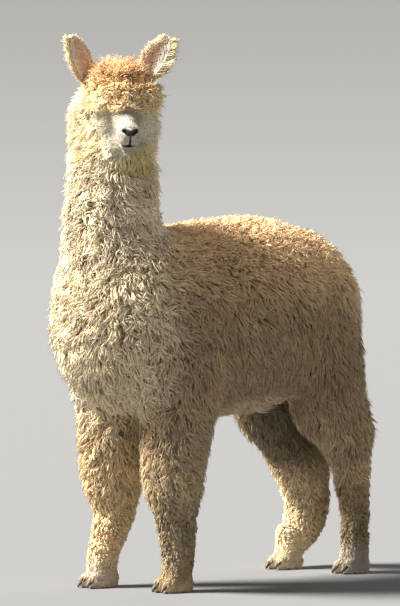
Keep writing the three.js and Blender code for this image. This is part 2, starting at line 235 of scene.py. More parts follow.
def all_joined(soft, *fields):
    return lambda p: reduce(lambda a, b: joined(a, b, soft), (each(p) for each in fields))


def both(make, at, *rest):
    return [make([s * at[0], at[1], at[2]], *rest) for s in (1, -1)]


trunk_field = all_joined(
    70,
    barrel([
        # y, top, bottom, half width
        [-345, BACK_HEIGHT - 80, BELLY_HEIGHT + 52, BODY_HALF_WIDTH - 48],
        [-270, BACK_HEIGHT - 38, BELLY_HEIGHT + 12, BODY_HALF_WIDTH - 24],
        [-160, BACK_HEIGHT - 20, BELLY_HEIGHT - 5, BODY_HALF_WIDTH - 8],
        [-30, BACK_HEIGHT - 4, BELLY_HEIGHT, BODY_HALF_WIDTH],
        [90, BACK_HEIGHT, BELLY_HEIGHT + 8, BODY_HALF_WIDTH - 4],
        [190, BACK_HEIGHT - 22, BELLY_HEIGHT + 48, BODY_HALF_WIDTH - 30],
    ]),
    ball([0, -340, 645], [184, 186, 215]),
    ball([0, 250, 680], [154, 138, 178]),
)
NECK_ROWS = [
    # z, x, y, half width, half depth
    [640, 0, NECK_Y + 80, 150, 158],
    [740, 0, NECK_Y + 54, 150, 164],
    [820, -2, NECK_Y + 14, 130, 142],
    [900, -6, NECK_Y + 2, 118, 128],
    [1000, -10, NECK_Y + 8, 112, 118],
    [1080, -20, NECK_Y + 18, 112, 112],
    [1150, -26, NECK_Y + 23, 108, 106],
]
neck_field = column(NECK_ROWS)
neck_axis = profile(NECK_ROWS)
limb_roots = both(ball, [112, -285, 560], [92, 128, 190]) + both(ball, [104, 226, 545], [92, 114, 190])
ruff_field = ball([-18, NECK_Y + 24, 1144], [106, 106, 104])
tail_field = all_joined(
    40, bar([0, 338, 800], [0, 380, 720], 54, 64), bar([0, 380, 720], [0, 378, 600], 64, 50))
throat_field = ball([0, -62, -84], [62, 62, 40])


def leg_rows(x, side, foot_y, joint_y, shag, end, **_):
    if end == "fore":
        return [
            [-40, x, foot_y + 2, 32, 38],
            [30, x, foot_y + 3, 34, 40],
            [80, x, foot_y + 9, 39, 42],
            [130, x, (foot_y + joint_y) / 2 + 6, 47, 48],
            [185, x, joint_y, 54, 58],
            [KNEE_HEIGHT + 20, x + side, joint_y - 8, 74, 78],
            [325, x + side * 3, joint_y - 8, 83, 88],
            [420, x + side * 4, joint_y + 2, 88, 100],
            [560, x + side * 2, joint_y + 6, 84, 100],
        ]
    reach = joint_y - foot_y
    fuller = 80 * (shag - 1)  # wool in front of the thigh and behind the hock
    return [
        [-40, x, foot_y + 2, 34, 38],
        [30, x, foot_y + 4, 35, 39],
        [85, x, foot_y + reach * 0.42 + fuller * 0.5, 36 * shag, 38 * shag + fuller * 0.5],
        [150, x, foot_y + reach * 0.76 + fuller * 0.6, 38 * shag, 42 * shag + fuller * 0.7],
        [220, x, joint_y - 12, 44 * shag, 52 * shag + fuller * 0.65],
        [HOCK_HEIGHT, x + side * 2, joint_y - 28 - fuller * 0.4, 54 * shag, 74 * shag + fuller * 0.6],
        [375, x + side * 5, joint_y - 62 - fuller, 76, 108 + fuller],
        [470, x + side * 7, joint_y - 98, 82, 108],
        [560, x + side * 6, joint_y - 124, 82, 98],
    ]


for leg in LEGS:
    leg["field"] = column(leg_rows(**leg))
    leg["axis"] = profile(leg_rows(**leg))


# How deep the wool is over the skin, by height.
wool_depth_at = profile([
    [0, 3], [58, 5], [90, 8], [150, 11], [232, 16], [330, 20], [430, 24], [540, 25], [1400, 25],
])


def cheek_share(h):
    """1 on the smooth cheeks and muzzle, 0 on the wool round them. h is in the head's frame."""
    right = h[:, 0] < 0
    reach = where(right, 83 + 0.556 * h[:, 2], 104 + 0.15 * h[:, 2])
    wide = fall(-8, 8, abs(h[:, 0]) - reach)
    low = ramp(-100, -76, h[:, 2] + 0.12 * (h[:, 1] + 60))
    return wide * low * fall(-17, 17, h[:, 1] - where(right, -35, 5))


def crown_share(h):
    """1 on the topknot, 0 elsewhere."""
    first = (h - [0, -110, 13]) @ [0, 0.15, -1] / 1.011
    second = (h - [0, -104, 14]) @ [0, -0.75, -0.66]
    return fall(-9, 9, maximum(first, second))


def coat_depth(p, h):
    depth = wool_depth_at(p[:, 2])[0]
    return mix(depth, 4.5, cheek_share(h) * ramp(1040, 1080, p[:, 2]))


def body_skin(p):
    """The skin of the body and legs, under the wool."""
    total = joined(trunk_field(p), neck_field(p), 70)
    low = p[:, 2] < LIMBS_BELOW
    if low.any():
        for root in limb_roots:
            total[low] = joined(total[low], root(p[low]), 55)
        for leg in LEGS:
            total[low] = joined(total[low], leg["field"](p[low]), 46)
    high = p[:, 2] > RUFF_ABOVE
    if high.any():
        total[high] = joined(total[high], ruff_field(p[high]), 34)
        total[high] = joined(total[high], throat_field(to_head(p[high])), 50)
    return total + coat_depth(p, to_head(p))


# ---- the head's skin
face_form = all_joined(
    20,
    ball([0, -6, 8], [68, 80, 62]),
    ball([0, -52, 10], [52, 48, 40]),
    bar([0, -60, -2], [0, MUZZLE_TIP + 38, -24], 42, 27),
    ball([0, MUZZLE_TIP + 14, -22], [24, 22, 19]),
    *both(ball, [12, MUZZLE_TIP + 18, -38], [16.5, 23, 19]),
    bar([0, MUZZLE_TIP + 28, -56], [0, -60, -52], 17, 34),
    *both(ball, [40, -34, -24], [34, 58, 44]),
    *both(ball, [41, -41, 23], [21, 40, 21]),
)
topknot_form = all_joined(
    30,
    ball([0, 2, 64], [92, 88, 66]),
    ball([13, 0, 34], [109, 78, 58]),
    ball([6, -58, 44], [86, 52, 50]),
    *both(ball, [54, -66, 14], [30, 30, 28]),
)
TOPKNOT_DEPTH = 30
EYE_OUT = unit(array([0.93, -0.36, 0.06]))
EYE_UP = unit(array([0.0, 0.0, 1.0]) - EYE_OUT * EYE_OUT[2])
EYE_FORE = cross(EYE_OUT, EYE_UP)

NOSTRIL = bar([5, -190, -25], [15.5, -182, -17], 2.2, 3.2)
SNOUT_FOLD = bar([25, -150, -12], [32, -134, -32], 2.8, 3.4)  # between the nose and the cheek


def mouth_height(y):
    """The height of the line between the lips, in the head's frame."""
    return -54.5 + (y + 185) * 0.1


def mirrored(h):
    """The head's points brought to its left side, where each pair of features is written once."""
    return concatenate([abs(h[:, :1]), h[:, 1:]], axis=1)


def face_skin(h):
    """The head's bare form, in its own frame, with nostrils, lips, mouth and lids."""
    m = mirrored(h)
    d = face_form(h) + FACE_HAIR
    near = (m[:, 1] < -90) & (d < 30)
    if near.any():
        q, e = m[near], d[near]
        e = joined(e, bar([17, -176, -15], [8, -182, -25], 4.5, 5.0)(q), 6)  # wing of the nostril
        e = joined(e, bar([0, -160, -60], [0, -148, -61], 10.5, 13)(q), 6)  # lower lip
        e = cut(e, NOSTRIL(q), 2.5)
        e = cut(e, bar([0, -191, -29], [0, -188, -55], 2.6, 3.6)(q), 5)  # split of the upper lip
        slit = abs(q[:, 2] - mouth_height(q[:, 1])) - 2.6
        slit = maximum(slit, maximum(-e - 7, q[:, 1] + 132))
        e = cut(e, slit, 2.5)
        e = cut(e, SNOUT_FOLD(q), 5)
        d[near] = e
    q = m - EYE_AT
    near = norm(q) < 45
    if near.any():
        q, e = q[near], d[near]
        out, up, fore = q @ EYE_OUT, q @ EYE_UP, q @ EYE_FORE
        e = joined(e, norm(q) - EYE_RADIUS - 2.4, 5)  # lids
        ridge = EYE_AT + 17 * EYE_OUT + 13 * EYE_UP  # over the upper lid
        e = joined(e, bar(ridge - 14 * EYE_FORE, ridge + 13 * EYE_FORE, 3.2, 3.2)(m[near]), 6)
        almond = 9.5 * (1 - (fore / 17.5) ** 2) + 1.2
        e = cut(e, maximum(abs(up + 0.5) - almond, 5 - out), 2.0)
        d[near] = e
    return d


def foot_skin(p, x, foot_y, **_):
    def toe(out):
        return joined(
            ball([x + out, foot_y - 18, 12], [13.5, 34, 25])(p),
            ball([x + out * 0.8, foot_y + 14, 16], [13.5, 26, 22])(p), 12)

    pastern = column([
        [20, x, foot_y + 6, 25, 29], [60, x, foot_y + 7, 26, 30], [90, x, foot_y + 9, 27, 31],
    ])(p)
    return joined(joined(toe(TOE_OUT), toe(-TOE_OUT), 3), pastern, 14)


def skin_field(p):
    d = body_skin(p)
    high = p[:, 2] > HEAD_ABOVE
    if high.any():
        h = to_head(p[high])
        d[high] = joined(joined(d[high], topknot_form(h) + TOPKNOT_DEPTH, 20), face_skin(h), 14)
    back = (p[:, 1] > 230) & (p[:, 2] > 480)
    if back.any():
        d[back] = joined(d[back], tail_field(p[back]) + 22, 25)
    low = p[:, 2] < FEET_BELOW
    if low.any():
        for leg in LEGS:
            d[low] = joined(d[low], foot_skin(p[low], **leg), 10)
        d[low] = maximum(d[low], SOLE_GAP - p[low][:, 2])
    return d


# ---- from field to mesh
def ticks(rows):
    """Grid lines whose cells ease from one size to the next: rows of [place, cell size]."""
    places, cells = array(rows, float).T
    lines = [places[0]]
    while lines[-1] < places[-1]:
        lines.append(lines[-1] + np.interp(lines[-1], places, cells))
    return array(lines)


def slope_of(field, p, step=0.4):
    axes = np.eye(3) * step
    return stack([(field(p + a) - field(p - a)) / (2 * step) for a in axes], axis=1)


def surface_nets(field, xs, ys, zs):
    """The closed surface of a field on a grid: points and quads, outward."""
    flat = stack(np.meshgrid(ys, xs, indexing="ij")[::-1], -1).reshape(-1, 2)
    slab = 12
    values = np.empty((len(zs), len(ys), len(xs)), np.float32)
    for k in range(0, len(zs), slab):
        some = zs[k:k + slab]
        p = np.empty((len(some), len(flat), 3))
        p[:, :, :2] = flat
        p[:, :, 2] = some[:, None]
        values[k:k + slab] = field(p.reshape(-1, 3)).reshape(len(some), len(ys), len(xs))
    inside = values < 0
    corners = [(k, j, i) for k in (0, 1) for j in (0, 1) for i in (0, 1)]
    size = [n - 1 for n in values.shape]
    part = lambda a, c: a[c[0]:c[0] + size[0], c[1]:c[1] + size[1], c[2]:c[2] + size[2]]
    count = sum(part(inside, c).astype(np.int8) for c in corners)
    cells = np.argwhere((count > 0) & (count < 8))
    number = np.full(size, -1, np.int32)
    number[tuple(cells.T)] = np.arange(len(cells))
    lines = [zs, ys, xs]
    total, hits = zeros((len(cells), 3)), zeros(len(cells))
    for a in corners:
        for axis in range(3):
            if a[axis]:
                continue
            b = tuple(v + (n == axis) for n, v in enumerate(a))
            va, vb = (values[tuple((cells + c).T)] for c in (a, b))
            crossed = (va < 0) != (vb < 0)
            t = where(crossed, va / where(crossed, va - vb, 1), 0)
            for n in range(3):
                low, high = lines[n][cells[:, n] + a[n]], lines[n][cells[:, n] + b[n]]
                total[:, n] += where(crossed, mix(low, high, t), 0)
            hits += crossed
    points = (total / hits[:, None])[:, ::-1].copy()
    for _ in range(2):
        slope = slope_of(field, points)
        steep = maximum((slope ** 2).sum(1), 0.3)
        points -= np.clip(field(points) / steep, -2.5, 2.5)[:, None] * slope
    quads = []
    for axis in range(3):
        u, v = [n for n in range(3) if n != axis]
        first = inside.take(range(size[axis]), axis)
        crossed = first != inside.take(range(1, size[axis] + 1), axis)
        at = np.argwhere(crossed)
        at = at[(at[:, u] > 0) & (at[:, v] > 0) & (at[:, u] < size[u]) & (at[:, v] < size[v])]
        du, dv = np.eye(3, dtype=int)[u], np.eye(3, dtype=int)[v]
        quad = stack([number[tuple((at - d).T)] for d in (0 * du, du, du + dv, dv)], axis=1)
        outward = first[tuple(at.T)] ^ (axis == 1)
        quad[outward] = quad[outward][:, ::-1]
        quads.append(quad)
    return points, concatenate(quads)


# ---- meshes
def placed(name, data):
    """A new object in the scene."""
    made = bpy.data.objects.new(name, data)
    bpy.context.scene.collection.objects.link(made)
    return made


def new_object(name, points, *faces):
    """A mesh object from points in the animal's frame and arrays of faces."""
    loops = concatenate([each.ravel() for each in faces]).astype(np.int32)
    sizes = concatenate([np.full(len(each), each.shape[1]) for each in faces]).astype(np.int32)
    mesh = bpy.data.meshes.new(name)
    mesh.vertices.add(len(points))
    mesh.vertices.foreach_set("co", metres(points).astype(np.float32).ravel())
    mesh.loops.add(len(loops))
    mesh.loops.foreach_set("vertex_index", loops)
    mesh.polygons.add(len(sizes))
    mesh.polygons.foreach_set("loop_start", (np.cumsum(sizes) - sizes).astype(np.int32))
    mesh.polygons.foreach_set("use_smooth", np.full(len(sizes), True))
    mesh.update(calc_edges=True)
    return placed(name, mesh)


def paint(made, colors, bare=0.0):
    """A colour for each point, as linear red, green and blue, and how moist or bare it is."""
    layer = made.data.color_attributes.new("Col", "FLOAT_COLOR", "POINT")
    colors = np.column_stack([colors, np.broadcast_to(bare, len(colors))])
    layer.data.foreach_set("color", colors.astype(np.float32).ravel())


def rolled(rings, around):
    """The faces of a closed tube, whose two end points come after its rings: quads and caps."""
    i, j = np.meshgrid(np.arange(rings - 1), np.arange(around), indexing="ij")
    k = (j + 1) % around
    a, b = i * around, (i + 1) * around
    quads = stack([a + j, a + k, b + k, b + j], -1).reshape(-1, 4)
    last, end = (rings - 1) * around, np.full(around, rings * around)
    caps = [[k[0], j[0], end], [j[0] + last, k[0] + last, end + 1]]
    return quads, concatenate([stack(cap, 1) for cap in caps])


def merged(shells):
    """Closed shells as one: all their points, then their faces by number of corners."""
    groups, start = {}, 0
    for points, *faces in shells:
        for each in faces:
            groups.setdefault(each.shape[1], []).append(each + start)
        start += len(points)
    return concatenate([shell[0] for shell in shells]), *map(concatenate, groups.values())


# ---- ears
EAR_WIDTH, EAR_HOLLOW = 27.0, 12.0  # half its width, and how deep it is cupped
EAR_ALONG = [0, 0.12, 0.3, 0.5, 0.68, 0.82, 0.92, 0.98, 1]
EAR_SPREAD = [0.30, 0.48, 0.80, 1.0, 0.9, 0.68, 0.42, 0.2, 0.08]
EAR_CUP = [0.9, 0.98, 1.0, 0.95, 0.8, 0.6, 0.4, 0.25, 0.2]


def ear_points(along, across, thick):
    """A point of a cupped leaf in its own frame: along 0 to 1, across -1 to 1, thick in mm."""
    half = EAR_WIDTH * np.interp(along, EAR_ALONG, EAR_SPREAD)
    inroll = 1 + 0.35 * (1 - along) ** 2 * across ** 2
    cupped = EAR_HOLLOW * across ** 2 * np.interp(along, EAR_ALONG, EAR_CUP)
    x, y = half * across / inroll, thick - cupped + 12 * along ** 2
    return stack([x, y, along * (EAR_LENGTH - 6)], -1)


def ear_frame(root, lean, **_):
    a, b, c = np.radians(lean)
    lean = turn(0, a) @ turn(1, b) @ turn(2, c)
    return lambda p: from_head(p @ lean.T + array(root))


def ear_shell(ear):
    """The thin leaf of an ear: points, faces and colours."""
    rings, around = 30, 28
    along = np.linspace(0, 1, rings)[:, None] ** 0.92
    a = angles(around)[None]
    across, thick = cos(a), 2.2 * sin(a) * np.sqrt(np.clip(sin(np.pi * along), 0.1, 1))
    points = ear_points(*np.broadcast_arrays(along, across, thick)).reshape(-1, 3)
    ends = ear_points(array([0.0, 1.0]), zeros(2), zeros(2))
    inner = ramp(0.15, -0.25, sin(a)) * fall(0.1, 0.6, across * sign(ear["root"][0]))
    # inside the cup: painted shade near the root, easing into the pink skin with its painted glow
    inside = mix(EAR_DEEP_SHADE, EAR_INSIDE_AND_GLOW, ramp(0.1, 0.42, along)[..., None])
    # the outer side takes the rim colour with each ear's painted light
    colors = mix(EAR_RIM_PAINTED_LIGHT * 0.9 * ear["rim"], inside, inner[..., None]).reshape(-1, 3)
    colors = concatenate([colors, np.tile(EAR_BACK * 0.6, (2, 1))])
    return ear_frame(**ear)(concatenate([points, ends])), *rolled(rings, around), colors


# ---- the lie, shape and colour of the coat
BACK_FAWN = srgb(246, 212, 166)
RUMP_CREAM = srgb(240, 218, 178)
FLANK_BROWN = srgb(178, 154, 120)
NECK_CREAM = srgb(240, 226, 196)
CHEST_CREAM = srgb(234, 219, 186)
DUST = srgb(176, 146, 116)
LEG_TAN = srgb(222, 197, 154)
LEG_DARK = srgb(120, 104, 80)
SOCK_WHITE = srgb(214, 204, 190)
FACE_WHITE = srgb(196, 190, 176)
FACE_GREY = srgb(194, 187, 170)
# painted shade for the hollow on each side of the muzzle's root, below the eyes
HOLLOW_PAINTED_SHADE = srgb(150, 145, 130)
MUZZLE_LILAC = srgb(200, 191, 178)
CHEEK_CREAM = srgb(216, 208, 182)
RUFF_CREAM = srgb(246, 230, 189)
GINGER = srgb(236, 204, 154)
GINGER_DEEP = srgb(232, 194, 142)
GINGER_PALE = srgb(248, 232, 188)
# painted shadow that the fringe casts on the top of the nose
FRINGE_SHADOW_PINK = srgb(176, 156, 150)
CHIN_WHITE = srgb(240, 234, 212)
JAW_CREAM = srgb(170, 162, 128)
# an olive stain under the throat, its green partly painted light thrown up from below
THROAT_STAIN_AND_GREEN_LIGHT = srgb(210, 196, 134)
NOSE_DARK = srgb(66, 56, 52)
# the darkest painted shade, in the mouth line, the groove of the upper lip, the nostrils and the fold
# beside the nose
DEEP_PAINTED_SHADE = srgb(38, 30, 28)
LID_DARK = srgb(70, 54, 46)
EAR_BACK = srgb(240, 222, 180)
# cream rim hair, made lighter as painted light
EAR_RIM_PAINTED_LIGHT = srgb(252, 244, 220)
# the pink skin inside the ear, lightened as a painted glow of light shining through it
EAR_INSIDE_AND_GLOW = srgb(222, 178, 156)
# painted shade deep in the ear's cup, near its root
EAR_DEEP_SHADE = srgb(128, 90, 72)


def below_neck(y, z):
    """How far behind and below the neck's base."""
    return (y + 350) * 0.5 - (z - 800) * 0.87


def regions(p, n):
    """How far each point belongs to each part of the coat, from 0 to 1."""
    h = to_head(p)
    _, y, z = p.T
    head = ramp(1040, 1080, z)
    crown = crown_share(h) * ramp(1120, 1145, z)
    cheek = cheek_share(h) * head * (1 - crown)
    neck = fall(-45, 45, below_neck(y, z))
    trunk = ramp(340, 430, z) * (1 - neck)
    tail = ramp(6, -4, tail_field(p) + 22) * ramp(330, 350, y)
    return dict(
        h=h, head=head, crown=crown, cheek=cheek, neck=neck, tail=tail,
        back=ramp(0.1, 0.7, n[:, 2]) * trunk * (1 - tail),
        belly=ramp(0.55, 0.9, -n[:, 2]) * trunk,
        chest=fall(-330, -210, y) * ramp(360, 470, z) * fall(760, 900, z),
        leg=fall(340, 440, z),
        foot=fall(44, 74, z),
        ruff=ramp(1005, 1070, z) * (1 - crown),
        muzzle=fall(-118, -84, h[:, 1]) * cheek,
        peak=crown * ramp(0.45, 0.85, n[:, 2]),
    )


def blotch(p, at, reach):
    """1 at a place, fading to 0 over reach, with a ragged edge."""
    return fall(0.55, 1.1, norm((p - at) / array(reach)) + 0.18 * noise(p, 18, 5))


def markings(p, r):
    """The colour of the coat and of the skin under it, as linear red, green and blue."""
    x, y, z = p.T
    h, head, crown, cheek, muzzle = (r[name] for name in ("h", "head", "crown", "cheek", "muzzle"))
    hx, hy, hz = h.T
    off = abs(hx)
    wander = 26 * noise(p, 75, 21) + 12 * noise(p, 24, 22)
    bib = fall(-335, -220, y + 0.8 * wander + 0.6 * maximum(x, 0)) * ramp(360, 470, z)
    dusty = ramp(0.15, 0.8, noise(p, 44, 31)) * maximum(bib, r["neck"] * (1 - head))
    elbow = ramp(30, 110, x) * fall(-150, -90, y) * ramp(-400, -330, y) * ramp(260, 340, z)
    fore = r["leg"] * fall(-120, -60, y)
    left_fore = fore * ramp(40, 80, x)
    hind = r["leg"] * ramp(120, 200, y)
    brown = hind * fall(200, 420, z + wander) * ramp(0, 1, 0.5 + 0.8 * noise(p, 70, 3))
    # where shade falls between the hind legs, on the right one's inner side
    inner = ramp(-150, -90, x) * (x < 0) * ramp(250, 330, z) * fall(520, 640, z + wander)
    # the top of the nose just under the fringe, where its painted shadow falls
    bridge = cheek * ramp(-84, -66, hy) * fall(30, 44, off) * ramp(-14, 6, hz)
    from_bridge = off + 0.15 * (hy + 90)
    chin = blotch(h, [-22, -116, -82], [42, 62, 24]) * head
    edge = maximum(ramp(46, 92, off), ramp(20, 70, hy))
    edge = maximum(edge, ramp(22, 62, -hx) * fall(44, 76, hz))
    pale = crown * maximum(edge, 0.8 * ramp(0.0, 0.9, noise(p, 26, 8)))
    c = layered(np.tile(FLANK_BROWN, (len(p), 1)), [
        (BACK_FAWN, ramp(640, 860, z + 24 * noise(p, 60, 1))),
        (RUMP_CREAM, ramp(170, 330, y) * ramp(600, 800, z) * 0.75),
        (CHEST_CREAM, maximum(bib, r["belly"] * 0.4)),
        (NECK_CREAM, fall(-95, 5, below_neck(y, z) + 0.7 * wander) * ramp(560, 900, z)),
        (DUST, 0.42 * dusty),
        (LEG_TAN, fall(270, 520, z + wander)),
        (FLANK_BROWN, 0.7 * elbow * fall(480, 620, z + wander)),
        (LEG_DARK, left_fore * fall(140, 360, z + wander) * ramp(8, 50, z) * (0.7 + 0.3 * noise(p, 30, 2))),
        (SOCK_WHITE, fore * ramp(40, 80, -x) * fall(40, 110, z) * 0.45),
        (LEG_DARK, brown * (0.4 + 0.3 * (x > 0))),
        # painted shade between the hind legs
        (LEG_DARK, 0.8 * inner * ramp(130, 200, y)),
        (SOCK_WHITE, hind * ramp(-10, 40, x) * fall(40, 110, z) * 0.6),
        (RUMP_CREAM, hind * ramp(10, 60, -x) * fall(330, 372, y - 0.12 * z) * fall(210, 300, z)),
        (SOCK_WHITE, r["foot"] * 0.35 * (1 - left_fore)),
        # the head
        (RUFF_CREAM, head * fall(60, 120, hy) * 0.9),
        (CHEEK_CREAM, cheek),
        (FACE_GREY, muzzle * ramp(10, 24, from_bridge)),
        (FACE_WHITE, cheek * fall(6, 22, from_bridge)),
        (MUZZLE_LILAC, muzzle * fall(-38, -22, hz - 0.5 * off) * 0.85),
        # painted shade in the hollow on each side of the muzzle's root
        (HOLLOW_PAINTED_SHADE, blotch(mirrored(h), [28, -112, -2], [17, 38, 19]) * cheek * 0.45),
        # painted shadow of the fringe on the top of the nose
        (FRINGE_SHADOW_PINK, bridge * 0.85),
        (CHIN_WHITE, chin * 0.9),
        (JAW_CREAM, muzzle * ramp(-57, -63, hz) * (1 - chin)),
        # stain under the throat, partly painted green light from below
        (THROAT_STAIN_AND_GREEN_LIGHT, blotch(h, [30, -92, -102], [64, 84, 42]) * (1 - chin) * 0.9),
        (GINGER, ramp(0.1, 0.9, crown + 0.3 * noise(p, 16, 23))),
        (GINGER_DEEP, crown * ramp(48, 86, hz + 10 * noise(p, 20, 24))),
        (GINGER_PALE, pale * (1 - 0.75 * r["peak"])),
    ])
    return c * (1 + 0.10 * noise(p, 38, 4) + 0.06 * noise(p, 11, 6))[:, None]


# Lift at the root and tip in degrees, crimp, length of a crimp, lean, width, pull to the lock,
# and how far apart tufts and locks are. Each region's row is laid over those above it.
STYLES = {
    "flank": (56, 4, 3.2, 22, 0.5, 4.6, 0.19, 5.3, 14),
    "back": (70, 14, 4.0, 16, 1.3, 4.2, 0.2, 5.1, 11),
    "neck": (62, 10, 4.0, 18, 0.8, 4.9, 0.22, 5.3, 14),
    "ruff": (62, 22, 2.4, 15, 0.6, 3.8, 0.06, 3.9, 11),
    "leg": (58, 6, 3.0, 18, 0.55, 4.7, 0.18, 5.3, 12),
    "foot": (26, 5, 0.3, 12, 0.2, 2.4, 0.1, 3.4, 7),
    "tail": (60, 16, 3.0, 24, 0.4, 4.8, 0.4, 6.0, 14),
    "cheek": (22, 3, 0.2, 22, 0.1, 2.3, 0.1, 2.9, 10),
    "crown": (70, 12, 5.0, 18, 1.1, 3.4, 0.35, 3.8, 12),
    "peak": (88, 46, 4.0, 20, 0.9, 3.0, 0.3, 4.0, 12),
}
TUFT_SPACING, LOCK_SPACING = 7, 8  # their places in a row


def style_of(r):
    (_, first), *others = STYLES.items()
    shares = dict(r, neck=maximum(r["neck"], r["chest"] * 0.8))
    total = np.tile(array(first, float), (len(r["h"]), 1))
    return layered(total, [(array(row, float), shares[name]) for name, row in others])


def lie_of(p, n, r):
    """The direction along the skin that the wool points in."""
    x, (hx, hy, hz) = p[:, :1], r["h"].T
    none, head_way = zeros(len(p)), lambda v: v @ HEAD_AXES.T
    down, back_way = array([0, 0, -1.0]), array([0, 1.0, 0])
    out = concatenate([np.clip(x / 60, -1, 1), zeros((len(p), 2))], axis=1)
    ruff = unit(stack([hx, none + 14, -0.8 * abs(hx) - 30], 1))
    face = stack([0.25 * sign(hx) * minimum(abs(hx) / 20, 1), none + 1,
                  where(hz < -20, -0.45, -0.1)], 1)
    fringe = unit(stack([hx, hy - 14, none], 1)) - [0, 0, 0.45]
    way = down + 0.12 * back_way + (0.3 * out + 0.5 * back_way) * r["back"][:, None]
    way = layered(way, [
        (down + 0.1 * back_way, maximum(r["neck"], r["leg"])),
        (back_way + 0.4 * out, r["belly"]),
        (array([0, -0.8, -0.6]), r["foot"]),
        (head_way(ruff), r["head"] * 0.7),
        (head_way(face), r["cheek"]),
        (head_way(fringe), r["crown"]),
    ])
    return square_to(n, way)


def scatter(rng, points, tris, normals, spacing_at):
    """Roots spread evenly over triangles, about spacing apart: places and normals."""
    a, b, c = (points[tris[:, k]] for k in range(3))
    area = norm(cross(b - a, c - a)) / 2
    middle, facing = (a + b + c) / 3, unit(sum(normals[tris[:, k]] for k in range(3)))
    spacing = spacing_at(middle, facing)
    wanted = where(spacing > 0, area / maximum(spacing, 0.1) ** 2, 0)
    total = np.cumsum(wanted)
    count = int(total[-1])
    pick = np.searchsorted(total, (np.arange(count) + rng.random(count)) * total[-1] / count)
    pick = pick.clip(0, len(tris) - 1)
    u, v = rng.random((2, count))
    flip = u + v > 1
    u, v = where(flip, 1 - u, u)[:, None], where(flip, 1 - v, v)[:, None]
    blend = lambda q: q[tris[pick, 0]] * (1 - u - v) + q[tris[pick, 1]] * u + q[tris[pick, 2]] * v
    return blend(points), unit(blend(normals))


def strands(nodes, p, n, t, length, lift, tip_lift, crimp, wave, phase, width, pull, root_color, tip_color):
    """Closed three-sided locks: points, triangles, colours and each point's place in its lock."""
    count = len(p)
    u = np.linspace(0, 1, nodes)
    lift = np.radians(mix(lift[:, None], tip_lift[:, None], u ** 0.8))[..., None]
    ahead = t[:, None] * cos(lift) + n[:, None] * sin(lift)
    step = (length / (nodes - 1))[:, None, None]
    path = zeros((count, nodes, 3))
    path[:, 1:] = np.cumsum((ahead[:, 1:] + ahead[:, :-1]) / 2 * step, axis=1)
    side = cross(n, t)[:, None]
    twist = (2 * np.pi * u * (length / wave)[:, None] + phase[:, None])[..., None]
    swing = (crimp[:, None] * u ** 0.6)[..., None]
    path += swing * (side * sin(twist) + 0.55 * n[:, None] * cos(twist))
    path += pull[:, None] * (u ** 1.3)[:, None] + p[:, None]
    ahead = unit(np.gradient(path, axis=1))
    across = square_to(ahead, side)
    top = cross(ahead, across)[:, :-1]
    half = (width[:, None] / 2 * ((0.72 + 0.5 * u[:-1]) * (1 - u[:-1] ** 3.2)))[..., None]
    spine, across, under = path[:, :-1], across[:, :-1] * half, top * (half * 0.35)
    ring = stack([spine + top * (half * 0.9), spine + across - under, spine - across - under], 2)
    points = concatenate([ring.reshape(count, -1, 3), path[:, -1:]], axis=1)
    points[..., 2] = maximum(points[..., 2], FLOOR_GAP)
    rings = nodes - 1
    faces, last = [(0, 2, 1)], 3 * (rings - 1)
    for i in range(rings - 1):
        for j in range(3):
            a, b = 3 * i + j, 3 * i + (j + 1) % 3
            faces += [(a, b, b + 3), (a, b + 3, a + 3)]
    faces += [(last + j, last + (j + 1) % 3, 3 * rings) for j in range(3)]
    tris = array(faces)[None] + (np.arange(count) * points.shape[1])[:, None, None]
    along = np.append(np.repeat(u[:-1], 3), 1.0)
    colors = mix(root_color[:, None], tip_color[:, None], (along ** 0.7)[None, :, None])
    patch = stack([np.append(np.tile([0.5, 1.0, 0.0], rings), 0.5),
                   along * 0.92 + np.append(np.tile([0.08, 0.0, 0.0], rings), 0.0)], -1)
    return points, tris, colors, np.broadcast_to(patch, (count,) + patch.shape)


# ---- the skin
FINE, COARSE = ((2.1, 1.0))
xs = ticks([[-250, 12 * COARSE], [-150, 8 * COARSE], [-95, 5 * COARSE], [-72, FINE], [135, FINE],
            [160, 6 * COARSE], [250, 12 * COARSE]])
ys = ticks([[-600, 9 * COARSE], [-560, 6 * COARSE], [-535, FINE], [-330, FINE], [-290, 7 * COARSE],
            [-150, 14 * COARSE], [150, 14 * COARSE], [260, 7 * COARSE], [460, 8 * COARSE]])
zs = ticks([[-6, 3], [40, 5], [80, 7 * COARSE], [160, 11 * COARSE], [500, 13 * COARSE],
            [960, 12 * COARSE], [1050, 4], [1084, FINE], [1225, FINE], [1310, 8]])
skin_points, skin_quads = surface_nets(skin_field, xs, ys, zs)
skin_normals = unit(slope_of(skin_field, skin_points, 1.5))


